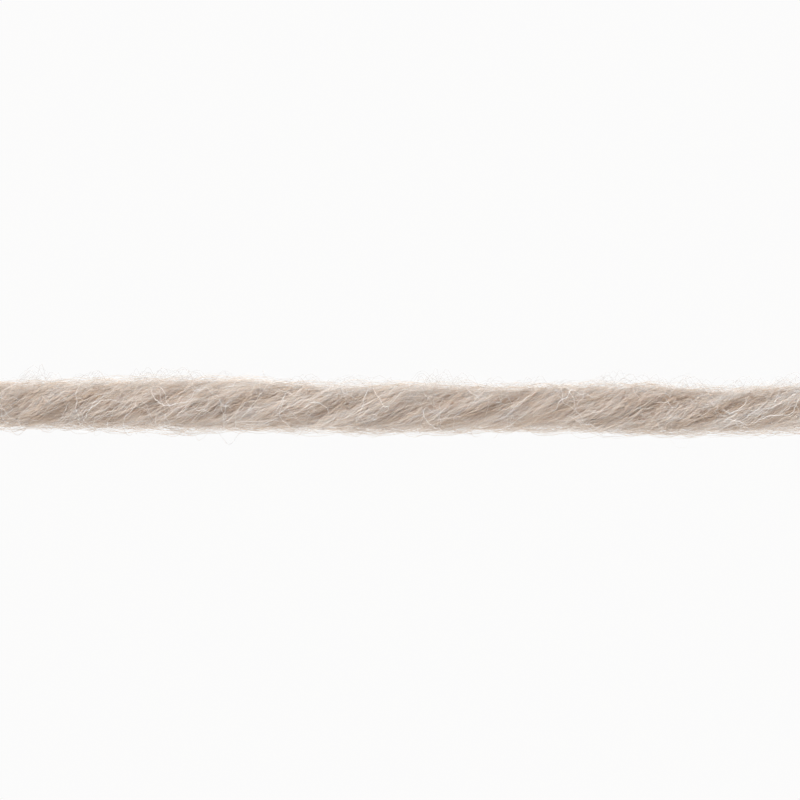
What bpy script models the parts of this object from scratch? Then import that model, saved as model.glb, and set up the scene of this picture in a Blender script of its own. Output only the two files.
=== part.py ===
"""A cut length of four-ply merino wool yarn, lying almost straight on a flat surface.

Four softly spun plies wind round each other in a left-handed helix, which spinners call an
S-twist. Each ply is squeezed by its neighbours into a rounded quarter of the yarn, and the
yarn is pressed flat where it touches the surface. Metres, +Z up, the yarn runs along X.
"""

import math
from collections import namedtuple

import bpy

MM = 0.001

LENGTH = 90 * MM  # from cut end to cut end
RADIUS = 2.28 * MM  # mean radius of the yarn, out to the tips of its short nap
PLIES = 4
PLY_GAP = 0.40 * MM  # straight across between two plies, which leaves 0.3 mm at the nearest
PLY_CENTRE = 0.58  # how far out a ply's middle lies, as a share of the yarn's radius
PLY_SQUARENESS = 4.0  # 2 would be an oval ply, and a higher number fills the corners more
FLAT_DEPTH = 0.16 * MM  # how far the underside is pressed in by the surface

RINGS = 65  # cross-sections along the yarn
RING_POINTS = 16  # points round each ply

WOOL_COLOUR = (0.497, 0.407, 0.342, 1.0)  # undyed oatmeal wool, linear
WOOL_ROUGHNESS = 0.95

# One row for each quarter turn of the twist: where along the yarn a groove between two plies
# comes to the top, how far the yarn sways to the side there, and how thick it is as a share
# of RADIUS. Lengths in millimetres.
Turn = namedtuple("Turn", "along sway thickness")
TURNS = (
    Turn(-48.8, 0.05, 1.00),
    Turn(-42.0, 0.10, 0.97),
    Turn(-35.3, 0.18, 0.93),
    Turn(-29.7, 0.20, 0.98),
    Turn(-22.7, 0.30, 1.06),
    Turn(-14.8, 0.24, 1.08),
    Turn(-6.2, -0.10, 0.95),
    Turn(0.9, -0.04, 1.03),
    Turn(7.7, -0.06, 0.93),
    Turn(14.7, -0.07, 0.99),
    Turn(21.4, -0.11, 1.05),
    Turn(28.6, -0.35, 0.90),
    Turn(35.5, -0.08, 0.93),
    Turn(42.3, 0.05, 1.00),
    Turn(49.2, 0.00, 1.00),
)


def blend_rows(distances, values, x):
    """The value at x of a smooth curve through the rows (a cubic with averaged slopes)."""
    last = len(distances) - 1
    i = max(k for k in range(last) if distances[k] <= x or k == 0)

    def slope(k):
        before, after = max(k - 1, 0), min(k + 1, last)
        return (values[after] - values[before]) / (distances[after] - distances[before])

    span = distances[i + 1] - distances[i]
    t = (x - distances[i]) / span
    return (
        values[i] * (2 * t**3 - 3 * t**2 + 1)
        + values[i + 1] * (3 * t**2 - 2 * t**3)
        + slope(i) * span * (t**3 - 2 * t**2 + t)
        + slope(i + 1) * span * (t**3 - t**2)
    )


ROW_PLACES = [row.along * MM for row in TURNS]


def sway(x):
    return blend_rows(ROW_PLACES, [row.sway * MM for row in TURNS], x)


def radius(x):
    return blend_rows(ROW_PLACES, [row.thickness * RADIUS for row in TURNS], x)


def twist(x):
    """Angle of the first groove, from +Y towards +Z: straight up at each row, left-handed."""
    quarter_turns = blend_rows(ROW_PLACES, list(range(len(TURNS))), x)
    return math.pi / 2 - quarter_turns * 2 * math.pi / PLIES


def ply_outline(yarn_radius):
    """One ply's section, as (outward, sideways) points from the yarn's middle.

    It is the slice of the round yarn between two planes, with its corners rounded off.
    """
    half_slice = math.pi / PLIES
    centre = PLY_CENTRE * yarn_radius
    to_plane = centre * math.sin(half_slice) - PLY_GAP / 2
    points = []
    for i in range(RING_POINTS):
        u = 2 * math.pi * i / RING_POINTS
        outward, sideways = math.cos(u), math.sin(u)
        to_skin = math.sqrt(yarn_radius**2 - (centre * sideways) ** 2) - centre * outward
        walls = [1 / to_skin]
        for side in (-1, 1):
            towards_wall = side * sideways * math.cos(half_slice) - outward * math.sin(half_slice)
            walls.append(max(0.0, towards_wall) / to_plane)
        reach = sum(w**PLY_SQUARENESS for w in walls) ** (-1 / PLY_SQUARENESS)
        points.append((centre + reach * outward, reach * sideways))
    return points


def ply_ring(x, ply):
    """The ply's section at x, in place, with its underside pressed onto the surface."""
    yarn_radius = radius(x)
    middle_height = yarn_radius - FLAT_DEPTH
    angle = twist(x) + (ply + 0.5) * 2 * math.pi / PLIES
    ring = []
    for outward, sideways in ply_outline(yarn_radius):
        y = outward * math.cos(angle) - sideways * math.sin(angle)
        z = outward * math.sin(angle) + sideways * math.cos(angle)
        ring.append((x, sway(x) + y, max(0.0, middle_height + z)))
    return ring


def wool(name):
    material = bpy.data.materials.new(f"{name}_wool")
    material.use_nodes = True
    shader = material.node_tree.nodes["Principled BSDF"]
    shader.inputs["Base Color"].default_value = WOOL_COLOUR
    shader.inputs["Roughness"].default_value = WOOL_ROUGHNESS
    shader.inputs["Metallic"].default_value = 0.0
    return material


def make_ply(ply):
    """One ply from cut end to cut end: rings of points joined by a skin, and two flat ends."""
    vertices = []
    for i in range(RINGS):
        vertices += ply_ring(LENGTH * (i / (RINGS - 1) - 0.5), ply)
    faces = []
    for i in range(RINGS - 1):
        for j in range(RING_POINTS):
            k = (j + 1) % RING_POINTS
            here, there = i * RING_POINTS, (i + 1) * RING_POINTS
            faces.append((here + j, here + k, there + k, there + j))
    first_end = range(RING_POINTS)
    last_end = range((RINGS - 1) * RING_POINTS, RINGS * RING_POINTS)
    faces += [tuple(reversed(first_end)), tuple(last_end)]

    name = f"ply_{ply + 1}"
    mesh = bpy.data.meshes.new(name)
    mesh.from_pydata(vertices, [], faces)
    mesh.shade_smooth()
    mesh.set_sharp_from_angle(angle=math.radians(50))
    mesh.materials.append(wool(name))
    ply_object = bpy.data.objects.new(name, mesh)
    bpy.context.scene.collection.objects.link(ply_object)
    return ply_object


def main():
    for old in list(bpy.data.objects):
        bpy.data.objects.remove(old, do_unlink=True)
    for ply in range(PLIES):
        make_ply(ply)


main()
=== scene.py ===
"""The looks of a cut length of four-ply merino yarn: its plies, its fibres and the stage.

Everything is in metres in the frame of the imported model. The yarn lies along X on the surface
z = 0. A point on it is given by x, an angle round the yarn (from +Y towards +Z) and a lift,
its height over the skin of the plies.
"""

import math
from collections import namedtuple

import bpy
import numpy as np
from bpy.props import FloatProperty, FloatVectorProperty, IntProperty, PointerProperty
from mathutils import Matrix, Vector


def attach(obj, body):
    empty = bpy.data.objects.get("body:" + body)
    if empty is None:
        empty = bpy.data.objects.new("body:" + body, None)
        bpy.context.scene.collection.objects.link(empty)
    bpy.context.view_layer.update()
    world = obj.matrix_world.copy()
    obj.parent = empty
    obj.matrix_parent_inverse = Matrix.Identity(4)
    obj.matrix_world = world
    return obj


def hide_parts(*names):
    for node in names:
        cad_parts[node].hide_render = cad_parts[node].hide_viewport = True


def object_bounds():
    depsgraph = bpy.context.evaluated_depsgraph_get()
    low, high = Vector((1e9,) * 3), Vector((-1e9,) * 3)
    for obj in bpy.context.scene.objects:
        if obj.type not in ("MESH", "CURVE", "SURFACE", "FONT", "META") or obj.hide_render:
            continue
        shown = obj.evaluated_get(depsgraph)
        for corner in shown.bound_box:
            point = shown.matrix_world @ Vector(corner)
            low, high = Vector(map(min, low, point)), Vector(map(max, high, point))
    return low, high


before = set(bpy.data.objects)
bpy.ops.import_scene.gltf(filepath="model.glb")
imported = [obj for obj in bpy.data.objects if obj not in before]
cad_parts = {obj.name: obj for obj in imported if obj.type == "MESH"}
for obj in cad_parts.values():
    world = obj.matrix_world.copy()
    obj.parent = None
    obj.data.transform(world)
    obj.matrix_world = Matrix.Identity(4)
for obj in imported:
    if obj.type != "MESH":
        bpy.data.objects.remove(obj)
CAD_LOW, CAD_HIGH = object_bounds()

bl_info = {
    "name": "Merino wool yarn",
    "version": (1, 0, 0),
    "blender": (4, 5, 0),
    "location": "3D View > Sidebar > Wool yarn",
    "description": "Builds a plied wool yarn fibre by fibre",
    "category": "Add Mesh",
}

MM = 0.001
HALF_LENGTH = CAD_HIGH.x
PLIES = 4
PLY_NODES = [f"ply_{n + 1}" for n in range(PLIES)]
YARN_RADIUS = 2.28 * MM  # mean radius out to the tips of the short fibres
FLAT_DEPTH = 0.16 * MM  # how far the surface presses the underside in
LOWEST_LINE = 0.012 * MM  # the lowest that a fibre's middle line lies
LOWEST_SKIN = 0.002 * MM  # the lowest that a fibre's own skin reaches

PLY_LEAN = -math.radians(24)  # of a ply on the skin, from the yarn's line
FIBRE_LEAN = -0.13  # of the fibres on a ply, from the ply's own line, in radians
FUZZ_LEAN = 0.15  # of the short loose fibres, which lie more along the yarn
SIDE_REACH = 0.8  # how far round below the yarn's two sides the free fibres reach, in radians
PRESSED_SHARE = 0.1  # of the fibres lie anywhere round the lower half instead

# Shares of a whole turn that, taken over and over, spread the fibres evenly with no pattern.
EVEN_STEPS = (0.7548776662, 0.5698402910, 0.6180339887)

FIBRE_SIDES = 3  # of the closed tube that makes a fibre
FIBRE_TIP = 0.45  # width of a fibre at its tips as a share of its middle width
LOOSE_TIP = 0.6  # the same for the fuzz and the loose fibres

# Each fibre's square cell of its piece's map: its skin in the middle, and a cap at each side.
CELL_U, CELL_V = (0.08, 0.92), (0.06, 0.94)
CELL_CAPS = (
    ((0.01, 0.1), (0.06, 0.1), (0.06, 0.9)),
    ((0.94, 0.1), (0.99, 0.1), (0.99, 0.9)),
)

PLY_MAP_SIZE = (94, 32)  # millimetres along and round the plies that their whole map spans

# One row for each quarter turn of the twist, as in the model's source, in millimetres: where
# a groove between two plies comes to the top, the yarn's sway there, and its thickness as a
# share of YARN_RADIUS. Then how strong the shade painted into the groove is, as a share of the
# usual, and how much paler the middles of the plies beside it are painted: a painted highlight
# on their crests, and darker where it is below zero.
Turn = namedtuple("Turn", "along sway thickness valley crest")
TURNS = (
    Turn(-48.8, 0.05, 1.00, 1.0, 0.00),
    Turn(-42.0, 0.10, 0.97, 0.8, 0.00),
    Turn(-35.3, 0.18, 0.95, 0.8, -0.04),
    Turn(-29.7, 0.20, 1.00, 1.2, 0.02),
    Turn(-22.7, 0.22, 1.08, 0.5, -0.06),
    Turn(-14.8, 0.22, 1.16, 0.6, 0.02),
    Turn(-6.2, -0.10, 0.95, 0.9, 0.02),
    Turn(0.9, -0.12, 1.04, 0.4, -0.04),
    Turn(7.7, -0.10, 0.92, 1.3, 0.04),
    Turn(14.7, -0.10, 0.98, 0.6, -0.02),
    Turn(21.4, -0.13, 1.09, 0.7, -0.02),
    Turn(28.6, -0.37, 0.92, 1.5, 0.10),
    Turn(35.5, -0.08, 0.95, 1.0, 0.08),
    Turn(42.3, 0.05, 1.00, 0.8, 0.00),
    Turn(49.2, 0.00, 1.00, 1.0, 0.00),
)
ROW_PLACES = np.array([row.along for row in TURNS]) * MM

# The loose fibres that lie over the yarn where it is looked at most, each by the corners of
# its line seen from above, in millimetres, and its boldness as a share of the usual width.
LooseFibre = namedtuple("LooseFibre", "boldness corners")
LOOSE_FIBRES = (
    LooseFibre(0.9, ((-34.9, 0.4), (-34.6, -0.2), (-35.3, -0.7), (-36.2, -1.0))),
    LooseFibre(0.9, ((-32.0, 1.1), (-31.4, 0.5), (-30.9, 0.2))),
    LooseFibre(0.7, ((-30.0, 2.0), (-30.0, 1.6), (-30.1, 1.3))),
    LooseFibre(0.9, ((-29.5, 0.5), (-29.9, -0.4), (-30.4, -1.2))),
    LooseFibre(0.7, ((-28.8, 0.8), (-28.4, 0.8), (-28.3, 0.6))),
    LooseFibre(1.2, ((-25.2, 0.6), (-26.5, 0.6), (-27.7, -0.3), (-28.1, -1.0), (-28.9, -1.8))),
    LooseFibre(1.1, ((-23.4, 0.7), (-23.7, -0.1), (-24.5, -0.9), (-24.8, -1.9))),
    LooseFibre(0.9, ((-23.2, 0.8), (-22.5, 0.1), (-22.3, -0.5), (-22.0, -1.2))),
    LooseFibre(1.3, ((-22.3, 1.8), (-21.9, 0.9), (-21.2, 0.3), (-20.5, 0.2), (-18.0, 0.7))),
    LooseFibre(1.1, ((-21.8, 2.0), (-21.0, 1.4), (-20.7, 0.4), (-20.2, -0.3))),
    LooseFibre(0.8, ((-20.9, -0.7), (-20.5, -1.6))),
    LooseFibre(0.8, ((-22.5, -0.3), (-22.2, -1.6))),
    LooseFibre(0.8, ((-16.0, 1.3), (-14.9, 2.0))),
    LooseFibre(1.0, ((-10.2, 1.2), (-10.6, 0.4), (-11.1, -0.5))),
    LooseFibre(0.8, ((-12.1, 0.2), (-11.2, 0.4))),
    LooseFibre(1.2, ((-8.6, -0.1), (-8.0, 0.4), (-7.3, 0.4), (-6.6, 0.0), (-6.3, -0.6))),
    LooseFibre(0.7, ((-7.5, -0.2), (-7.9, -0.6), (-8.2, -0.2), (-7.9, 0.1), (-7.6, -0.3))),
    LooseFibre(0.8, ((-6.2, 2.0), (-6.5, 1.1))),
    LooseFibre(1.3, ((-2.5, 2.0), (-3.1, 1.1), (-3.4, -0.1), (-3.8, -0.8))),
    LooseFibre(1.3, ((-2.5, 1.8), (-2.0, 1.0), (-1.4, 0.1), (-1.0, 0.0), (-1.4, -0.6))),
    LooseFibre(0.8, ((-2.1, -0.9), (-2.4, -1.1), (-2.4, -0.7), (-2.2, -0.7), (-2.1, -0.9))),
    LooseFibre(1.4, ((2.0, -0.1), (2.2, -0.9), (2.8, -1.6), (3.7, -2.1))),
    LooseFibre(0.9, ((5.9, 1.7), (6.9, 0.9), (7.3, 0.5))),
    LooseFibre(0.8, ((5.7, -0.4), (6.2, 0.2), (6.8, 0.5))),
    LooseFibre(0.8, ((8.8, 1.1), (9.0, 0.6), (8.6, 0.4))),
    LooseFibre(1.0, ((12.2, 1.4), (10.8, 0.5), (10.1, -0.1))),
    LooseFibre(0.9, ((14.9, -0.7), (15.8, -1.2), (16.5, -1.9))),
    LooseFibre(1.1, ((23.7, 0.8), (24.1, 0.1), (24.6, 0.0), (24.8, 0.5))),
    LooseFibre(1.2, ((28.8, -0.2), (29.4, -0.5), (30.0, -0.3), (30.7, 0.2), (31.2, 1.0))),
    LooseFibre(1.2, ((28.8, -1.0), (30.0, -1.2), (30.8, -1.5), (31.5, -2.1))),
    LooseFibre(1.4, ((31.5, -1.5), (32.9, -0.8), (34.8, -0.6), (35.3, 0.2), (35.8, 1.1))),
    LooseFibre(0.8, ((31.9, 0.0), (32.6, -0.5))),
)


# ---- the yarn's line and skin -------------------------------------------------------------


def blend_rows(values, x):
    """Values at x of a smooth curve through the rows (a cubic with averaged slopes)."""
    values = np.asarray(values, dtype=float)
    x = np.clip(x, ROW_PLACES[0], ROW_PLACES[-1])
    slopes = np.empty(len(values))
    slopes[1:-1] = (values[2:] - values[:-2]) / (ROW_PLACES[2:] - ROW_PLACES[:-2])
    slopes[0] = (values[1] - values[0]) / (ROW_PLACES[1] - ROW_PLACES[0])
    slopes[-1] = (values[-1] - values[-2]) / (ROW_PLACES[-1] - ROW_PLACES[-2])
    i = np.clip(np.searchsorted(ROW_PLACES, x, side="right") - 1, 0, len(values) - 2)
    span = ROW_PLACES[i + 1] - ROW_PLACES[i]
    t = (x - ROW_PLACES[i]) / span
    return (
        values[i] * (2 * t**3 - 3 * t**2 + 1)
        + values[i + 1] * (3 * t**2 - 2 * t**3)
        + slopes[i] * span * (t**3 - 2 * t**2 + t)
        + slopes[i + 1] * span * (t**3 - t**2)
    )


def sway(x):
    return blend_rows([row.sway * MM for row in TURNS], x)


def yarn_radius(x):
    return blend_rows([row.thickness * YARN_RADIUS for row in TURNS], x)


def twist(x):
    """Angle of the first groove: straight up at each row, turning left-handed."""
    return math.pi / 2 - blend_rows(np.arange(len(TURNS)), x) * 2 * math.pi / PLIES


def middle_height(x):
    return yarn_radius(x) - FLAT_DEPTH


def round_line(x, angle, distance):
    """Points at a distance from the yarn's middle line, lifted to rest on the surface."""
    y = sway(x) + distance * np.cos(angle)
    z = middle_height(x) + distance * np.sin(angle)
    return np.stack([x, y, np.maximum(z, LOWEST_LINE)], axis=-1)


class Grain:
    """Smooth seeded noise over a plane, from -1 to 1, worked out for whole arrays."""

    def __init__(self, seed, size=64):
        self.size = size
        self.table = np.random.default_rng(seed).uniform(-1, 1, (size, size))

    def __call__(self, u, v):
        iu, iv = np.floor(u).astype(int), np.floor(v).astype(int)
        fu, fv = u - iu, v - iv
        fu, fv = fu * fu * (3 - 2 * fu), fv * fv * (3 - 2 * fv)
        a, b = iu % self.size, (iu + 1) % self.size
        c, d = iv % self.size, (iv + 1) % self.size
        near = self.table[a, c] * (1 - fu) + self.table[b, c] * fu
        far = self.table[a, d] * (1 - fu) + self.table[b, d] * fu
        return near * (1 - fv) + far * fv


class Skin:
    """The outer skin of the plies: lobed by the plies, ridged by their locks of fibre."""

    lock_length = 3.5 * MM
    lock_width = 0.75 * MM
    # the lock's own tone, partly painted light: the locks that stand out are painted paler
    lock_paleness = 0.08
    # painted shade: the tone taken off at the bottom of a groove between plies
    groove_painted_shade = 0.36
    groove_softness = 1.7  # a higher number keeps the painted shade closer to the groove
    base_tone = -0.09
    lift_painted_light = 0.08  # painted light: paler for each millimetre over the skin, so the low fibres carry painted shade
    pale_lift = 0.5 * MM  # fibres higher than this get no more painted light

    def __init__(self, settings):
        self.share = settings.body_share
        self.spread = settings.ply_spread
        self.ridge = settings.lock_height
        self.coarse, self.fine = Grain(11), Grain(12)

    def across_ply(self, x, angle):
        """Angle from the middle of the nearest ply, and which ply that is."""
        slice_angle = 2 * math.pi / PLIES
        from_groove = (angle - twist(x)) / slice_angle
        ply = np.floor(from_groove)
        return (from_groove - ply - 0.5) * slice_angle, ply.astype(int) % PLIES

    def lock(self, x, angle):
        """From about -1 to 1: how far the lock of fibres at a place stands out and how pale it is
        painted, a random tone that is partly painted light on the raised locks.
        """
        across, ply = self.across_ply(x, angle)
        along = x / math.cos(PLY_LEAN)
        across = across * YARN_RADIUS * self.share
        ahead = along * math.cos(FIBRE_LEAN) + across * math.sin(FIBRE_LEAN)
        aside = across * math.cos(FIBRE_LEAN) - along * math.sin(FIBRE_LEAN)
        u, v = ahead / self.lock_length, aside / self.lock_width
        broad = self.coarse(u + 17.3 * ply, v)
        small = self.fine(2.1 * u + 7.7 * ply, 2.3 * v)
        return 0.7 * broad + 0.25 * small

    def reach(self, x, angle):
        """Distance of the skin from the yarn's middle line."""
        across = self.across_ply(x, angle)[0]
        lobe = self.spread * np.cos(across) + np.sqrt(
            (1 - self.spread) ** 2 - (self.spread * np.sin(across)) ** 2
        )
        return yarn_radius(x) * self.share * lobe + self.ridge * self.lock(x, angle)

    def tone_and_painted_light(self, x, angle, lift):
        """How much paler than its own tone a fibre is painted at a place: the lock's tone, painted
        shade that makes it less pale in the grooves, and painted light that makes it paler higher
        up and on the ply crests.
        """
        groove = np.abs(self.across_ply(x, angle)[0]) / (math.pi / PLIES)
        valley = blend_rows([row.valley for row in TURNS], x)
        crest = np.interp(x, ROW_PLACES, [row.crest for row in TURNS])
        # painted shade in the grooves, strongest at a groove's bottom
        dark = self.groove_painted_shade * valley * groove**self.groove_softness
        # painted highlight along the middle of each ply by its row's crest, darker where that is
        # below zero, and the lock's tone with painted light on the locks that stand out
        pale = crest * (1 - groove**2) + self.lock_paleness * self.lock(x, angle)
        # painted light: higher fibres paler, lower ones darker as if shadowed by those above
        high = self.lift_painted_light * np.minimum(lift, self.pale_lift) / MM
        return self.base_tone + pale + high - dark

    def place(self, x, angle, lift, bridge=0.0):
        """Points in the frame. bridge is 0 on the skin and 1 where grooves are spanned over."""
        skin = self.reach(x, angle)
        crest = yarn_radius(x) * self.share
        return round_line(x, angle, skin + bridge * np.maximum(crest - skin, 0) + lift)


def lay_fibres(skin, middle, angle, along, across, lift, bridge):
    """Paths on the skin from lengths along and across the ply, counted from each middle.

    A fibre that would pass a cut end is moved back until it ends there. The second result is
    how much paler the fibre is painted at each of its points: its lock's tone with the painted
    light and shade of the skin.
    """
    x = middle + along * math.cos(PLY_LEAN) - across * math.sin(PLY_LEAN)
    past = np.maximum(x.max(1, keepdims=True) - HALF_LENGTH, 0)
    short = np.maximum(-HALF_LENGTH - x.min(1, keepdims=True), 0)
    x = x - past + short
    turned = angle + twist(x) + across / (YARN_RADIUS * skin.share * math.cos(PLY_LEAN))
    return skin.place(x, turned, lift, bridge), skin.tone_and_painted_light(x, turned, lift)


def scatter(rng, count):
    """Evenly spread middles along the yarn, and angles from the first groove that put the
    fibres all round it, but few where it rests on the surface.
    """
    k = np.arange(count)[:, None]
    first, second, third = ((rng.uniform(0, 1) + step * k) % 1 for step in EVEN_STEPS)
    middle = HALF_LENGTH * (2 * first - 1)
    free = -SIDE_REACH + (math.pi + 2 * SIDE_REACH) * second
    pressed = math.pi * (1 + second)
    angle = np.where(third < PRESSED_SHARE, pressed, free)
    return middle, angle - twist(middle)


def wander(rng, count, steps, step, spread, crimp, wave, curl, lean=FIBRE_LEAN):
    """Lengths along and across the ply, counted from the middle, of fibres that wander.

    spread, crimp and curl are angles: of the first headings, of the crimp's swing, and of
    the slow random turning over the whole fibre. wave is the crimp's length, in the unit
    of step.
    """
    t = np.arange(steps)[None] * step
    heading = lean + rng.normal(0, 1, (count, 1)) * spread
    phase = rng.uniform(0, 2 * math.pi, (count, 1))
    length = steps * step
    slow = rng.normal(0, 1, (3, count, 1))
    bend = slow[0] * np.sin(math.pi * t / length) + slow[1] * np.sin(2 * math.pi * t / length)
    bend = bend + 0.5 * slow[2] * np.sin(5 * t / length + phase)
    swing = crimp * np.sin(2 * math.pi * t / wave + phase)
    heading = heading + swing + curl * bend
    along = np.cumsum(np.cos(heading), 1) * step
    across = np.cumsum(np.sin(heading), 1) * step
    half = steps // 2
    return along - along[:, half : half + 1], across - across[:, half : half + 1]


# ---- meshes -------------------------------------------------------------------------------


def mesh_from_arrays(name, points, faces_by_size, uvs, tone):
    """A smooth mesh from arrays: faces_by_size are index arrays, and uvs one pair a corner."""
    mesh = bpy.data.meshes.new(name)
    corners = np.concatenate([f.reshape(-1) for f in faces_by_size])
    sizes = np.concatenate([np.full(len(f), f.shape[1]) for f in faces_by_size])
    starts = np.concatenate([[0], np.cumsum(sizes)[:-1]])
    mesh.vertices.add(len(points))
    mesh.vertices.foreach_set("co", points.astype(np.float32).reshape(-1))
    mesh.loops.add(len(corners))
    mesh.loops.foreach_set("vertex_index", corners.astype(np.int32))
    mesh.polygons.add(len(sizes))
    mesh.polygons.foreach_set("loop_start", starts.astype(np.int32))
    mesh.polygons.foreach_set("loop_total", sizes.astype(np.int32))
    mesh.polygons.foreach_set("use_smooth", np.ones(len(sizes), dtype=bool))
    layer = mesh.uv_layers.new(name="OFBake")
    layer.uv.foreach_set("vector", uvs.astype(np.float32).reshape(-1))
    attribute = mesh.attributes.new("tone", "FLOAT", "POINT")
    attribute.data.foreach_set("value", tone.astype(np.float32))
    mesh.update(calc_edges=True)
    mesh.validate()
    return mesh


def skin_faces(index):
    """Four-cornered faces between rings of points. The last axis of index goes round a ring."""
    here, there = index[..., :-1, :], index[..., 1:, :]
    return np.stack([here, np.roll(here, -1, -1), np.roll(there, -1, -1), there], axis=-1)


def skin_uvs(u, v):
    """Map corners of the same faces, where u holds the rings' places and v goes round them."""
    corners = np.empty((len(u) - 1, len(v) - 1, 4, 2))
    corners[..., 0, 0] = corners[..., 1, 0] = u[:-1, None]
    corners[..., 2, 0] = corners[..., 3, 0] = u[1:, None]
    corners[..., 0, 1] = corners[..., 3, 1] = v[None, :-1]
    corners[..., 1, 1] = corners[..., 2, 1] = v[None, 1:]
    return corners


def tube_rings(paths, radii):
    """Rings of FIBRE_SIDES points round each path, with no twist between rings."""
    ahead = np.gradient(paths, axis=1)
    ahead /= np.linalg.norm(ahead, axis=2, keepdims=True) + 1e-12
    count, steps = paths.shape[:2]
    side = np.empty_like(paths)
    any_way = np.array([0.31, 0.2, 0.93])
    across = np.cross(ahead[:, 0], any_way)
    for k in range(steps):
        across = across - np.sum(across * ahead[:, k], axis=1, keepdims=True) * ahead[:, k]
        across /= np.linalg.norm(across, axis=1, keepdims=True) + 1e-12
        side[:, k] = across
    up = np.cross(ahead, side)
    turn = 2 * math.pi * np.arange(FIBRE_SIDES) / FIBRE_SIDES
    ring = (
        np.cos(turn)[None, None, :, None] * side[:, :, None]
        + np.sin(turn)[None, None, :, None] * up[:, :, None]
    )
    return paths[:, :, None] + ring * radii[:, :, None, None]


def tubes_mesh(name, paths, radii, tone):
    """Closed tubes along many paths of equal point count, each with its own UV cell.

    tone has a value for each point of each path.
    """
    count, steps = paths.shape[:2]
    rings = tube_rings(paths, radii)
    rings[..., 2] = np.maximum(rings[..., 2], LOWEST_SKIN)
    index = np.arange(count * steps * FIBRE_SIDES).reshape(count, steps, FIBRE_SIDES)
    caps = np.stack([index[:, 0, ::-1], index[:, -1]], axis=1)
    faces = [skin_faces(index).reshape(-1, 4), caps.reshape(-1, FIBRE_SIDES)]

    grid = math.ceil(math.sqrt(count))
    cell = np.stack([np.arange(count) % grid, np.arange(count) // grid], axis=-1) / grid
    corners = skin_uvs(np.linspace(*CELL_U, steps), np.linspace(*CELL_V, FIBRE_SIDES + 1))
    corners = cell[:, None, None, None] + corners / grid
    cap_corners = cell[:, None, None] + np.array(CELL_CAPS) / grid
    uvs = np.concatenate([corners.reshape(-1, 2), cap_corners.reshape(-1, 2)])
    tones = np.repeat(np.clip(tone, 0, 1).reshape(-1), FIBRE_SIDES)
    return mesh_from_arrays(name, rings.reshape(-1, 3), faces, uvs, tones)


def add_piece(name, mesh, material):
    piece = bpy.data.objects.new(name, mesh)
    bpy.context.scene.collection.objects.link(piece)
    mesh.materials.append(material)
    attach(piece, "root")
    return piece


def taper(steps, tip=FIBRE_TIP):
    """Width along a fibre as a share of its middle width, thinner in both end sixths."""
    t = np.linspace(0, 1, steps)
    return tip + (1 - tip) * np.minimum(1, 6 * np.minimum(t, 1 - t))


# ---- wool materials -----------------------------------------------------------------------


def muted(colour, saturation, value):
    """A linear colour moved towards its own grey and darkened, with its alpha added."""
    grey = 0.2126 * colour[0] + 0.7152 * colour[1] + 0.0722 * colour[2]
    return tuple(value * (grey + (part - grey) * saturation) for part in colour) + (1,)


def add_streaks(nodes, links, place, factor, shader):
    """Fine lines along the fibres, as a bump on the shader and in the tone, which it returns."""
    millimetres = nodes.new("ShaderNodeMapping")
    millimetres.inputs["Scale"].default_value = (*PLY_MAP_SIZE, 1)
    millimetres.inputs["Rotation"].default_value = (0, 0, -FIBRE_LEAN)
    links.new(place, millimetres.inputs["Vector"])
    lines = nodes.new("ShaderNodeMapping")
    lines.inputs["Scale"].default_value = (0.7, 5, 1)
    links.new(millimetres.outputs["Vector"], lines.inputs["Vector"])
    hairs = nodes.new("ShaderNodeTexNoise")
    hairs.inputs["Scale"].default_value = 1
    hairs.inputs["Detail"].default_value = 4
    hairs.inputs["Distortion"].default_value = 0.4
    links.new(lines.outputs["Vector"], hairs.inputs["Vector"])
    bump = nodes.new("ShaderNodeBump")
    bump.inputs["Strength"].default_value = 1
    bump.inputs["Distance"].default_value = 0.12 * MM
    links.new(hairs.outputs["Fac"], bump.inputs["Height"])
    links.new(bump.outputs["Normal"], shader.inputs["Normal"])
    darker = nodes.new("ShaderNodeMath")
    darker.operation = "SUBTRACT"
    mean_of_hairs = darker.inputs[1]
    mean_of_hairs.default_value = 0.4
    links.new(factor, darker.inputs[0])
    streaked = nodes.new("ShaderNodeMath")
    streaked.operation = "ADD"
    links.new(darker.outputs[0], streaked.inputs[0])
    links.new(hairs.outputs["Fac"], streaked.inputs[1])
    return streaked.outputs[0]


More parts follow.
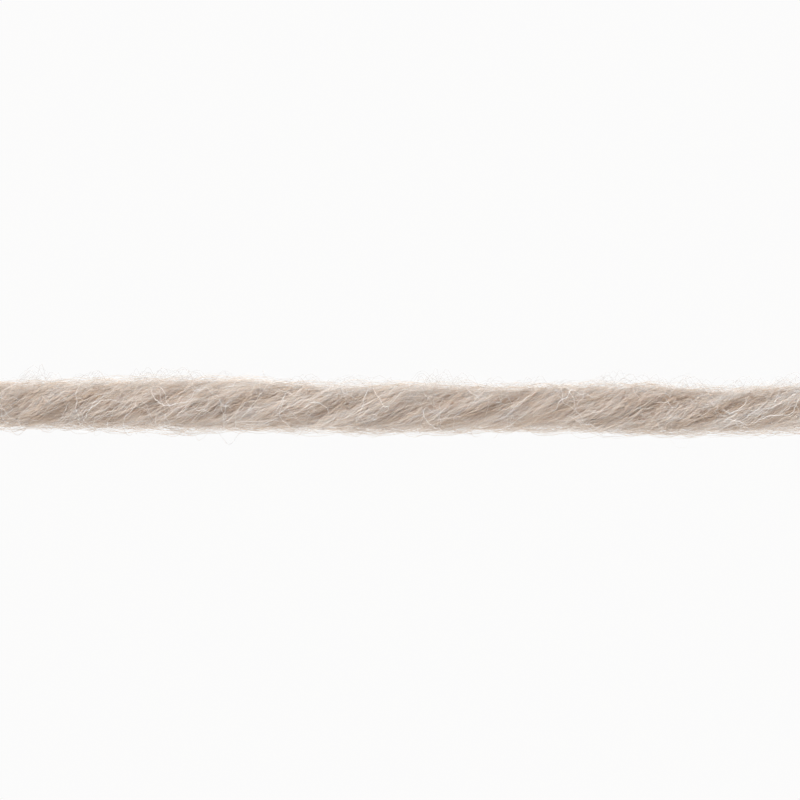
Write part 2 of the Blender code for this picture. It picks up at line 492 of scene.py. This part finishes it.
def wool_material(name, settings, streaks=False, saturation=1.0, value=1.0):
    """Matt wool: each fibre's tone between the dark and pale colours, with a soft sheen.

    streaks adds fine fibre lines in colour and bump, for the plies under the fibres.
    """
    material = bpy.data.materials.new(name)
    material.use_nodes = True
    nodes, links = material.node_tree.nodes, material.node_tree.links
    shader = nodes["Principled BSDF"]
    shader.inputs["Roughness"].default_value = settings.roughness
    shader.inputs["Sheen Weight"].default_value = settings.sheen
    shader.inputs["Sheen Roughness"].default_value = 0.45
    shader.inputs["Specular IOR Level"].default_value = 0.25
    shader.inputs["Subsurface Weight"].default_value = 1.0 if streaks else 0.6
    shader.inputs["Subsurface Radius"].default_value = (1.0, 0.82, 0.68)
    shader.inputs["Subsurface Scale"].default_value = (0.4 if streaks else 0.12) * MM

    tone = nodes.new("ShaderNodeAttribute")
    tone.attribute_name = "tone"
    place = nodes.new("ShaderNodeTexCoord")
    mottle = nodes.new("ShaderNodeTexNoise")
    mottle.inputs["Scale"].default_value = 650
    mottle.inputs["Detail"].default_value = 3
    links.new(place.outputs["Object"], mottle.inputs["Vector"])
    mottled = nodes.new("ShaderNodeMath")
    mottled.operation = "MULTIPLY_ADD"
    mottle_strength = mottled.inputs[1]
    mottle_strength.default_value = 0.35
    links.new(mottle.outputs["Fac"], mottled.inputs[0])
    links.new(tone.outputs["Fac"], mottled.inputs[2])
    factor = mottled.outputs[0]
    if streaks:
        factor = add_streaks(nodes, links, place.outputs["UV"], factor, shader)
    ramp = nodes.new("ShaderNodeValToRGB")
    ramp.color_ramp.elements[0].color = muted(settings.shade_colour, saturation, value)
    ramp.color_ramp.elements[1].color = muted(settings.light_colour, saturation, value)
    middle = ramp.color_ramp.elements.new(0.5)
    middle.color = muted(settings.wool_colour, saturation, value)
    links.new(factor, ramp.inputs["Fac"])
    links.new(ramp.outputs["Color"], shader.inputs["Base Color"])
    return material


# ---- settings -----------------------------------------------------------------------------


class YarnSettings(bpy.types.PropertyGroup):
    """Sizes of the plies and the colours of the wool."""

    body_share: FloatProperty(
        name="Body share",
        description="Radius of the dense body as a share of the yarn's full radius",
        default=0.64,
        subtype="FACTOR",
        min=0.5,
        max=1,
    )
    ply_spread: FloatProperty(
        name="Ply spread",
        description="How far out each ply's middle lies, as a share of the body's radius",
        default=0.38,
        subtype="FACTOR",
        min=0.1,
        max=0.55,
    )
    lock_height: FloatProperty(
        name="Lock height",
        description="How far locks of fibre stand above or below the ply's skin",
        default=0.02 * MM,
        unit="LENGTH",
    )
    wool_colour: FloatVectorProperty(
        name="Wool",
        description="Middle colour of the wool",
        subtype="COLOR",
        default=(0.595, 0.470, 0.383),
        min=0,
        max=1,
    )
    light_colour: FloatVectorProperty(
        name="Pale fibres",
        description="Colour of the palest fibres",
        subtype="COLOR",
        default=(0.86, 0.825, 0.785),
        min=0,
        max=1,
    )
    # the dark end of the tone ramp: darker fibres, and also the colour reached by the painted shade
    # in the grooves, between plies and under higher fibres
    shade_colour: FloatVectorProperty(
        name="Dark fibres",
        description="Colour of the darkest fibres",
        subtype="COLOR",
        default=(0.38, 0.24, 0.15),
        min=0,
        max=1,
    )
    roughness: FloatProperty(
        name="Roughness",
        description="Roughness of the wool",
        default=0.8,
        subtype="FACTOR",
        min=0,
        max=1,
    )
    sheen: FloatProperty(
        name="Sheen",
        description="Strength of the soft sheen",
        default=0.3,
        subtype="FACTOR",
        min=0,
        max=1,
    )


class FibreSettings(bpy.types.PropertyGroup):
    """How many fibres of each kind there are, and how thick."""

    combed: IntProperty(
        name="Combed fibres", description="Fine fibres that lie almost side by side", default=6300
    )
    combed_width: FloatProperty(
        name="Combed fibre width",
        description="Width of a combed fibre",
        default=0.024 * MM,
        unit="LENGTH",
    )
    crimped: IntProperty(
        name="Crimped fibres", description="Fine crimped fibres that cross the others", default=1000
    )
    crimped_width: FloatProperty(
        name="Crimped fibre width",
        description="Width of a fine crimped fibre",
        default=0.026 * MM,
        unit="LENGTH",
    )
    fuzz: IntProperty(
        name="Fuzz", description="Short fibres standing off the yarn", default=4900, min=0
    )
    fuzz_width: FloatProperty(
        name="Fuzz width",
        description="Width of a short loose fibre",
        default=0.015 * MM,
        unit="LENGTH",
    )
    loose: IntProperty(
        name="Loose fibres", description="Long pale fibres scattered all round", default=170
    )
    loose_width: FloatProperty(
        name="Loose width",
        description="Width of a long pale fibre",
        default=0.036 * MM,
        unit="LENGTH",
    )
    strays: IntProperty(
        name="Strays", description="Long faint fibres far from the yarn", default=70, min=0
    )
    stray_width: FloatProperty(
        name="Stray width",
        description="Width of a long faint fibre",
        default=0.011 * MM,
        unit="LENGTH",
    )
    end_fibres: IntProperty(
        name="End fibres", description="Cut fibres at each end", default=400, min=0
    )
    end_width: FloatProperty(
        name="End fibre width",
        description="Width of a cut fibre at an end",
        default=0.08 * MM,
        unit="LENGTH",
    )


class StageSettings(bpy.types.PropertyGroup):
    """Camera, floor and lights."""

    view_width: FloatProperty(
        name="View width",
        description="Length of yarn that the camera sees",
        default=72 * MM,
        unit="LENGTH",
    )
    view_shift: FloatProperty(
        name="View shift",
        description="How far above the yarn's line the picture's middle lies",
        default=0.65 * MM,
        unit="LENGTH",
    )
    lens: FloatProperty(
        name="Lens", description="Focal length of the camera", default=100, unit="CAMERA"
    )
    floor_glow: FloatProperty(
        name="Floor brightness", description="Brightness of the white floor", default=0.97
    )
    sky: FloatProperty(
        name="Light from above", description="Brightness of the room overhead", default=0.04
    )
    key_power: FloatProperty(
        name="Key light", description="Power of the main light", default=5.3, unit="POWER"
    )
    fill_power: FloatProperty(
        name="Side light", description="Power of the opposite light", default=2.8, unit="POWER"
    )


# ---- pieces -------------------------------------------------------------------------------


class WOOL_OT_stage(bpy.types.Operator):
    """Makes the white floor, the soft lights and the camera that looks straight down."""

    bl_idname = "wool.stage"
    bl_label = "Stage"

    sensor_width = 36  # in millimetres, as the lens
    clip_start = 0.01
    floor_half = 1.5
    floor_drop = 0.02 * MM  # below the surface that the yarn rests on
    light_size = 0.35
    key_place = (-0.05, 0.45, 0.18)
    fill_place = (0.05, -0.44, 0.15)
    dim_from = 0.8  # height of a direction, out of 1, over which the room is dimmest

    def execute(self, context):
        settings = context.scene.wool_stage
        self.make_camera(context, settings)
        self.make_floor(settings)
        self.make_lights(settings)
        return {"FINISHED"}

    def make_camera(self, context, settings):
        data = bpy.data.cameras.new("camera")
        data.lens = settings.lens
        data.sensor_width = self.sensor_width
        data.clip_start = self.clip_start
        camera = bpy.data.objects.new("camera", data)
        distance = settings.view_width * data.lens / data.sensor_width
        camera.location = (0, settings.view_shift, YARN_RADIUS + distance)
        context.scene.collection.objects.link(camera)
        context.scene.camera = camera
        context.scene.view_settings.view_transform = "Standard"

    def make_floor(self, settings):
        half = self.floor_half
        mesh = bpy.data.meshes.new("floor")
        corners = [(-half, -half, 0), (half, -half, 0), (half, half, 0), (-half, half, 0)]
        mesh.from_pydata(corners, [], [(0, 1, 2, 3)])
        floor = bpy.data.objects.new("floor", mesh)
        floor.location.z = -self.floor_drop
        bpy.context.scene.collection.objects.link(floor)
        material = bpy.data.materials.new("lit_white_floor")
        material.use_nodes = True
        shader = material.node_tree.nodes["Principled BSDF"]
        shader.inputs["Base Color"].default_value = (0, 0, 0, 1)
        shader.inputs["Specular IOR Level"].default_value = 0
        shader.inputs["Emission Color"].default_value = (1, 0.998, 0.996, 1)
        shader.inputs["Emission Strength"].default_value = settings.floor_glow
        mesh.materials.append(material)

    def make_lights(self, settings):
        world = bpy.data.worlds.new("soft_room")
        world.use_nodes = True
        nodes, links = world.node_tree.nodes, world.node_tree.links
        direction = nodes.new("ShaderNodeTexCoord")
        parts = nodes.new("ShaderNodeSeparateXYZ")
        links.new(direction.outputs["Generated"], parts.inputs["Vector"])
        height = nodes.new("ShaderNodeMapRange")
        height.interpolation_type = "SMOOTHSTEP"
        height.inputs["From Max"].default_value = self.dim_from
        height.inputs["To Min"].default_value = settings.floor_glow
        height.inputs["To Max"].default_value = settings.sky
        links.new(parts.outputs["Z"], height.inputs["Value"])
        links.new(height.outputs["Result"], nodes["Background"].inputs["Strength"])
        nodes["Background"].inputs["Color"].default_value = (1, 1, 1, 1)
        bpy.context.scene.world = world
        self.make_light("key", settings.key_power, self.key_place)
        self.make_light("fill", settings.fill_power, self.fill_place)

    def make_light(self, name, power, place):
        """A soft square light that faces the yarn."""
        data = bpy.data.lights.new(name, "AREA")
        data.size = self.light_size
        data.energy = power
        light = bpy.data.objects.new(name, data)
        light.location = place
        light.rotation_euler = (-light.location).to_track_quat("-Z", "Y").to_euler()
        bpy.context.scene.collection.objects.link(light)


class WOOL_OT_plies(bpy.types.Operator):
    """Makes the four plies as closed twisted strands, squeezed together and ridged."""

    bl_idname = "wool.plies"
    bl_label = "Plies"

    steps = 260
    outer_points = 18
    inner_points = 4
    gap = 0.02 * MM  # between a ply's edge and the plane half-way to the next ply
    inner_reach = (0.85, 0.12)  # from the skin inwards, as shares of the skin's distance
    inner_painted_shade = -0.2  # painted shade: tone taken off the sides that face the other plies
    tone = 0.4

    # The map: a band for each ply, and above them a row of small discs for the cut ends.
    band_u, band_v = (0.02, 0.98), (0.03, 0.95)
    bands = PLIES + 0.2
    disc_radius = 0.018
    disc_step, disc_row = 0.05, 0.978

    def execute(self, context):
        settings = context.scene.wool_yarn
        skin = Skin(settings)
        points, quads, ends, uvs, tones = [], [], [], [], []
        for ply in range(PLIES):
            rings, paler = self.ply_rings(skin, ply)
            steps, around = rings.shape[:2]
            index = (ply * steps + np.arange(steps)[:, None]) * around + np.arange(around)
            points.append(rings.reshape(-1, 3))
            tones.append(self.tone + paler.reshape(-1))
            quads.append(skin_faces(index).reshape(-1, 4))
            ends += [index[0, ::-1], index[-1]]
            uvs.append(self.side_uvs(ply, steps, around))
        uvs.append(self.end_uvs(around))
        points, uvs, tones = (np.concatenate(parts) for parts in (points, uvs, tones))
        faces = [np.concatenate(quads), np.array(ends)]
        mesh = mesh_from_arrays("plies", points, faces, uvs, tones)
        plies = add_piece("plies", mesh, wool_material("ply_wool", settings, streaks=True))
        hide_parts(*PLY_NODES)
        return {"FINISHED"}

    def ply_rings(self, skin, ply):
        """Rings of points: the outer arc on the skin, then back near the yarn's middle."""
        half = math.pi / PLIES
        x = np.linspace(-HALF_LENGTH, HALF_LENGTH, self.steps)[:, None]
        middle = twist(x) + (ply + 0.5) * 2 * half
        edge = half - self.gap / YARN_RADIUS
        outer = np.linspace(-edge, edge, self.outer_points)[None]
        arc = (x + 0 * outer, middle + outer, 0 * outer)
        rings, shades = [skin.place(*arc)], [skin.tone_and_painted_light(*arc)]
        share = np.linspace(*self.inner_reach, self.inner_points // 2)
        for side, shares in ((1, share), (-1, share[::-1])):
            angle = middle + side * edge
            r = skin.reach(x, angle) * shares[None]
            rings.append(round_line(x + 0 * r, angle, r))
            # painted shade on the sides that face the other plies
            shades.append(0 * r + self.inner_painted_shade)
        return np.concatenate(rings, axis=1), np.concatenate(shades, axis=1)

    def side_uvs(self, ply, steps, around):
        """One band of the map for each ply: u along the yarn, v round the ply."""
        u = np.linspace(*self.band_u, steps)
        v = (ply + np.linspace(*self.band_v, around + 1)) / self.bands
        return skin_uvs(u, v).reshape(-1, 2)

    def end_uvs(self, around):
        """A small disc of the map for each cut end."""
        turn = 2 * math.pi * np.arange(around) / around
        disc = np.stack([np.cos(turn), np.sin(turn)], axis=-1) * self.disc_radius
        middles = [(self.disc_step * (k + 1), self.disc_row) for k in range(2 * PLIES)]
        return np.concatenate([disc + middle for middle in middles])


class FibrePieces:
    """Shares an operator's fibres among its pieces, each laid with the next seed."""

    tip = FIBRE_TIP

    def add_pieces(self, name, skin, count, width, material):
        for k in range(self.pieces):
            rng = np.random.default_rng(self.seed + k)
            paths, tone, bold = self.lay(skin, rng, count // self.pieces)
            radii = width * bold / 2 * taper(self.steps, self.tip)[None]
            mesh = tubes_mesh(f"{name}_{k + 1}", paths, radii, tone)
            add_piece(f"{name}_{k + 1}", mesh, material)


class WOOL_OT_combed(FibrePieces, bpy.types.Operator):
    """Lays the fine fibres that run almost side by side and make the soft body of the yarn."""

    bl_idname = "wool.combed"
    bl_label = "Combed fibres"

    pieces = 3
    seed = 250
    steps = 12
    bright_share = 0.16

    def execute(self, context):
        yarn, fibres = context.scene.wool_yarn, context.scene.wool_fibres
        material = wool_material("combed_wool", yarn)
        self.add_pieces("combed", Skin(yarn), fibres.combed, fibres.combed_width, material)
        return {"FINISHED"}

    def lay(self, skin, rng, count):
        """Paths, tones and boldness of long fibres with a slight crimp, a few of them bright."""
        each = (count, 1)  # the shape of one value for each fibre
        step = rng.uniform(0.4, 0.65, each) * MM
        spread = rng.gamma(1.2, 0.09, each)
        wave = rng.uniform(1.8, 3.2, each) * MM / step
        bends = {"spread": spread, "crimp": 0.12, "wave": wave, "curl": 0.12}
        along, across = wander(rng, count, self.steps, 1.0, **bends)
        middle, angle = scatter(rng, count)
        t = np.linspace(0, 1, self.steps)[None]
        phase = rng.uniform(0, 2 * math.pi, each)
        clumps = 1 + 0.2 * skin.coarse(middle / (4 * MM), 2 * angle)
        height = 0.04 + 1.2 * rng.beta(1.15, 2.3, each) * clumps  # in millimetres
        arch = 0.9 + 0.1 * np.sin(math.pi * t)
        lift = (height * arch + 0.03 * np.sin(11 * t + phase)) * MM
        bridge = rng.uniform(0, 0.6, each)
        paths, paler = lay_fibres(skin, middle, angle, along * step, across * step, lift, bridge)
        bright = rng.uniform(0, 1, each) < self.bright_share
        bold = rng.uniform(0.7, 1.25, each) + 0.15 * bright
        return paths, rng.normal(0.38, 0.14, each) + 0.26 * bright + paler, bold


class WOOL_OT_crimped(FibrePieces, bpy.types.Operator):
    """Lays the fine crimped fibres that cross each other all over the yarn."""

    bl_idname = "wool.crimped"
    bl_label = "Crimped fibres"

    pieces = 2
    seed = 200
    steps = 28
    step = 0.22 * MM

    def execute(self, context):
        yarn, fibres = context.scene.wool_yarn, context.scene.wool_fibres
        material = wool_material("crimped_wool", yarn)
        self.add_pieces("crimped", Skin(yarn), fibres.crimped, fibres.crimped_width, material)
        return {"FINISHED"}

    def lay(self, skin, rng, count):
        """Paths, tones and boldness of fibres that weave up and down: the bolder, the paler."""
        each = (count, 1)
        wave = rng.uniform(0.7, 1.1, each) * MM
        crimp = rng.uniform(0.1, 0.5, each)
        spread = rng.gamma(1.3, 0.15, each)
        curl = rng.gamma(1.2, 0.15, each)
        along, across = wander(rng, count, self.steps, self.step, spread, crimp, wave, curl)
        middle, angle = scatter(rng, count)
        t = np.linspace(0, 1, self.steps)[None]
        phase = rng.uniform(0, 2 * math.pi, (3, count, 1))
        weave = 0.05 * np.sin(9 * t + phase[0]) + 0.04 * np.sin(17 * t + phase[1])
        height = rng.gamma(1.6, 0.24, each)  # in millimetres
        arch = 0.3 + 0.7 * np.sin(rng.uniform(2, 6, each) * t + phase[2]) ** 2
        lift = (0.04 + height * arch + weave) * MM
        bridge = rng.uniform(0, 0.8, each)
        paths, paler = lay_fibres(skin, middle, angle, along, across, lift, bridge)
        bold = rng.uniform(0.6, 1.5, each)
        return paths, rng.normal(0.45, 0.12, each) + 0.55 * (bold - 1) + paler, bold


class WOOL_OT_fuzz(FibrePieces, bpy.types.Operator):
    """Makes the soft halo: short fibres that leave the plies and come back or end free."""

    bl_idname = "wool.fuzz"
    bl_label = "Fuzz"

    pieces = 2
    seed = 300
    steps = 10
    tip = LOOSE_TIP
    far_share = 0.4  # of the fuzz is gathered on the yarn's fuller side, at +Y
    loop_share = 0.85  # of the fuzz comes back to the yarn, and the rest ends free
    bright_share = 0.3  # of the lower fuzz

    def execute(self, context):
        yarn, fibres = context.scene.wool_yarn, context.scene.wool_fibres
        material = wool_material("fuzz_wool", yarn, saturation=0.5, value=0.8)
        self.add_pieces("fuzz", Skin(yarn), fibres.fuzz, fibres.fuzz_width, material)
        return {"FINISHED"}

    def lay(self, skin, rng, count):
        """Paths, tones and boldness of low arcs, higher on the yarn's fuller side."""
        each = (count, 1)
        t = np.linspace(0, 1, self.steps)[None]
        step = rng.uniform(1.8, 5.0, each) * MM / self.steps
        spread = rng.gamma(1.3, 0.18, each)
        bends = {"spread": spread, "crimp": 0.25, "wave": 3.3, "curl": 0.25}
        along, across = wander(rng, count, self.steps, 1.0, **bends, lean=FUZZ_LEAN)
        middle, angle = scatter(rng, count)
        far_side = rng.uniform(-0.4, 1.0, each) - twist(middle)
        angle = np.where(rng.uniform(0, 1, each) < self.far_share, far_side, angle)
        side = np.cos(angle + twist(middle))
        clumps = 1 + 0.4 * skin.coarse(middle / (2.5 * MM), 5.3 + side)
        height = np.minimum(rng.gamma(1.7, 0.28, each), 0.9)  # in millimetres
        height = 0.12 + height * (1 + 0.45 * side) * clumps
        phase = rng.uniform(0, 2 * math.pi, each)
        roundness = rng.uniform(0.8, 2.0, each)
        rise = np.sin(math.pi * t) ** roundness * (1 + 0.3 * np.sin(6 * t + phase))
        open_end = np.sin(math.pi / 2 * t) ** 1.2
        rise = np.where(rng.uniform(0, 1, each) < self.loop_share, rise, open_end)
        lift = height * rise * MM
        bridge = rng.uniform(0.2, 0.9, each)
        paths = lay_fibres(skin, middle, angle, along * step, across * step, lift, bridge)[0]
        bright = (rng.uniform(0, 1, each) < self.bright_share) & (height < 0.6)
        bold = rng.uniform(0.6, 1.1, each) + 0.8 * bright
        return paths, rng.normal(0.75, 0.12, each) + 0.2 * bright - 0.4 * lift / MM, bold


def smooth_path(corners, steps):
    """Points at even steps on a smooth curve through the corners, an array of x, y pairs."""
    before = np.vstack([2 * corners[0] - corners[1], corners])[:-1]
    after = np.vstack([corners, 2 * corners[-1] - corners[-2]])[1:]
    slope = (after - before) / 2
    slope[0], slope[-1] = corners[1] - corners[0], corners[-1] - corners[-2]
    t = np.linspace(0, len(corners) - 1, steps)
    i = np.minimum(t.astype(int), len(corners) - 2)
    f = (t - i)[:, None]
    return (
        corners[i] * (2 * f**3 - 3 * f**2 + 1)
        + corners[i + 1] * (3 * f**2 - 2 * f**3)
        + slope[i] * (f**3 - 2 * f**2 + f)
        + slope[i + 1] * (f**3 - f**2)
    )


def over_yarn(skin, x, y, lift):
    """Points over the yarn as seen from above, on its crest's radius plus a lift."""
    radius = yarn_radius(x) * skin.share + lift
    aside = np.clip((y - sway(x)) / radius, -1, 1)
    z = middle_height(x) + radius * np.sqrt(1 - aside**2)
    return np.stack([x, y, z], axis=-1)


class WOOL_OT_loose(bpy.types.Operator):
    """Lays the long pale fibres that curl over the plies: those in the table and more."""

    bl_idname = "wool.loose"
    bl_label = "Loose fibres"

    seed = 400
    steps = 32
    placed_wave, placed_swing = 0.8 * MM, 0.03 * MM  # of the crimp of those in the table

    def execute(self, context):
        yarn, fibres = context.scene.wool_yarn, context.scene.wool_fibres
        skin, rng = Skin(yarn), np.random.default_rng(self.seed)
        placed = np.stack([self.placed_path(skin, rng, row) for row in LOOSE_FIBRES])
        scattered = self.scattered(skin, rng, fibres.loose)
        paths = np.concatenate([placed, scattered])
        width = fibres.loose_width * rng.uniform(0.5, 1.1, (len(paths), 1))
        width[: len(placed), 0] = [row.boldness * fibres.loose_width for row in LOOSE_FIBRES]
        radii = width / 2 * taper(self.steps, LOOSE_TIP)[None]
        tone = rng.normal(1.0, 0.08, (len(paths), 1)) + 0 * radii
        mesh = tubes_mesh("loose", paths, radii, tone)
        add_piece("loose", mesh, wool_material("loose_wool", yarn))
        return {"FINISHED"}

    def placed_path(self, skin, rng, row):
        """The path over the yarn of one fibre in the table, with a fine crimp added."""
        line = smooth_path(np.array(row.corners) * MM, self.steps)
        t = np.linspace(0, 1, self.steps)
        length = np.linalg.norm(np.diff(line, axis=0), axis=1).sum()
        ahead = np.gradient(line, axis=0)
        ahead /= np.linalg.norm(ahead, axis=1, keepdims=True)
        waves = 2 * math.pi * t * length / self.placed_wave
        crimp = self.placed_swing * np.sin(waves + rng.uniform(0, 6))
        line = line + crimp[:, None] * np.stack([-ahead[:, 1], ahead[:, 0]], axis=1)
        lift = (0.55 + 0.25 * np.sin(math.pi * t)) * MM
        return over_yarn(skin, line[:, 0], line[:, 1], lift)

    def scattered(self, skin, rng, count):
        """Paths of fibres that curl at random all round the yarn."""
        each = (count, 1)
        step = rng.uniform(0.10, 0.24, each) * MM
        wave = rng.uniform(0.8, 1.6, each) * MM / step
        bends = {"spread": 0.7, "crimp": 0.5, "wave": wave, "curl": 0.9}
        along, across = wander(rng, count, self.steps, 1.0, **bends)
        middle, angle = scatter(rng, count)
        t = np.linspace(0, 1, self.steps)[None]
        lift = (0.3 + rng.gamma(1.5, 0.25, each) * np.sin(math.pi * t)) * MM
        return lay_fibres(skin, middle, angle, along * step, across * step, lift, 1.0)[0]


class WOOL_OT_strays(bpy.types.Operator):
    """Makes the few long faint fibres that stand far out from the yarn."""

    bl_idname = "wool.strays"
    bl_label = "Strays"

    seed = 500
    steps = 24
    highest = 2 * MM
    loop_share = 0.5

    def execute(self, context):
        yarn, fibres = context.scene.wool_yarn, context.scene.wool_fibres
        skin, rng = Skin(yarn), np.random.default_rng(self.seed)
        count = fibres.strays
        each = (count, 1)
        step = rng.uniform(0.12, 0.3, each) * MM
        wave = rng.uniform(0.9, 2.0, each) * MM / step
        bends = {"spread": 0.9, "crimp": 0.5, "wave": wave, "curl": 1.0}
        along, across = wander(rng, count, self.steps, 1.0, **bends)
        middle = rng.uniform(-HALF_LENGTH, HALF_LENGTH, each)
        angle = rng.uniform(-0.3, math.pi + 0.3, each) - twist(middle)
        t = np.linspace(0, 1, self.steps)[None]
        loops = rng.uniform(0, 1, each) < self.loop_share
        rise = np.where(loops, np.sin(math.pi * t), np.sin(math.pi / 2 * t))
        lift = np.minimum(rng.gamma(2.5, 0.4, each) * MM, self.highest) * rise
        paths = lay_fibres(skin, middle, angle, along * step, across * step, lift, 1.0)[0]
        radii = fibres.stray_width / 2 * rng.uniform(0.7, 1.2, each) * taper(self.steps)[None]
        tone = rng.normal(0.75, 0.12, each) + 0 * radii
        mesh = tubes_mesh("strays", paths, radii, tone)
        add_piece("strays", mesh, wool_material("stray_wool", yarn))
        return {"FINISHED"}


class WOOL_OT_ends(bpy.types.Operator):
    """Makes the brush of cut fibres at both ends of the yarn."""

    bl_idname = "wool.ends"
    bl_label = "Cut ends"

    seed = 600
    steps = 8

    def execute(self, context):
        yarn, fibres = context.scene.wool_yarn, context.scene.wool_fibres
        skin, rng = Skin(yarn), np.random.default_rng(self.seed)
        count = fibres.end_fibres
        paths = np.concatenate([self.brush(skin, rng, count, side) for side in (-1, 1)])
        each = (len(paths), 1)
        radii = fibres.end_width / 2 * rng.uniform(0.5, 1.1, each) * taper(self.steps)[None]
        tone = rng.normal(0.5, 0.12, each) + 0 * radii
        mesh = tubes_mesh("ends", paths, radii, tone)
        add_piece("ends", mesh, wool_material("end_wool", yarn, saturation=0.7))
        return {"FINISHED"}

    def brush(self, skin, rng, count, side):
        """Fibres through the cut end on one side, which spread a little past it."""
        each = (count, 1)
        t = np.linspace(0, 1, self.steps)[None]
        inside = rng.uniform(1.0, 3.0, each) * MM
        beyond = (rng.gamma(1.5, 0.12, each) - 0.1) * MM
        x = side * (HALF_LENGTH - inside + (inside + beyond) * t)
        share = np.sqrt(rng.uniform(0.01, 1.05, each))
        flare = rng.uniform(0, 0.3, each) * np.maximum(t - 0.6, 0)
        angle = rng.uniform(0, 2 * math.pi, each) + twist(x)
        angle = angle + rng.normal(0, 0.2, each) * t**2
        return round_line(x, angle, skin.reach(x, angle) * (share + flare))


class WOOL_OT_cord(bpy.types.Operator):
    """Works out points along the yarn's middle line, and does nothing more with them."""

    bl_idname = "wool.cord"
    bl_label = "Free length"

    points = 31

    def execute(self, context):
        x = np.linspace(-HALF_LENGTH, HALF_LENGTH, self.points)
        line = np.stack([x, sway(x), middle_height(x)], axis=-1)
        return {"FINISHED"}

    def is_wool(self, piece, plies):
        """Whether a piece is made of this yarn's fibres and isn't the plies themselves."""
        material = piece.active_material
        return piece != plies and material is not None and material.name.endswith("_wool")


class WOOL_PT_panel(bpy.types.Panel):
    """Lists the pieces of the yarn in the 3D view's sidebar."""

    bl_idname = "WOOL_PT_panel"
    bl_label = "Wool yarn"
    bl_space_type = "VIEW_3D"
    bl_region_type = "UI"
    bl_category = "Wool yarn"

    def draw(self, context):
        for settings in ("wool_yarn", "wool_fibres", "wool_stage"):
            box = self.layout.box()
            group = getattr(context.scene, settings)
            for name in group.__annotations__:
                box.prop(group, name)
        for operator in OPERATORS:
            self.layout.operator(operator.bl_idname)


OPERATORS = (
    WOOL_OT_stage,
    WOOL_OT_plies,
    WOOL_OT_combed,
    WOOL_OT_crimped,
    WOOL_OT_fuzz,
    WOOL_OT_loose,
    WOOL_OT_strays,
    WOOL_OT_ends,
    WOOL_OT_cord,
)
SETTINGS = {"wool_yarn": YarnSettings, "wool_fibres": FibreSettings, "wool_stage": StageSettings}


def register():
    for cls in (*SETTINGS.values(), *OPERATORS, WOOL_PT_panel):
        bpy.utils.register_class(cls)
    for name, group in SETTINGS.items():
        setattr(bpy.types.Scene, name, PointerProperty(type=group))


def unregister():
    for name in SETTINGS:
        delattr(bpy.types.Scene, name)
    for cls in reversed((*SETTINGS.values(), *OPERATORS, WOOL_PT_panel)):
        bpy.utils.unregister_class(cls)


def main():
    register()
    bpy.ops.wool.stage()
    bpy.ops.wool.plies()
    bpy.ops.wool.combed()
    bpy.ops.wool.crimped()
    bpy.ops.wool.fuzz()
    bpy.ops.wool.loose()
    bpy.ops.wool.strays()
    bpy.ops.wool.ends()
    bpy.ops.wool.cord()


if __name__ == "__main__":
    main()
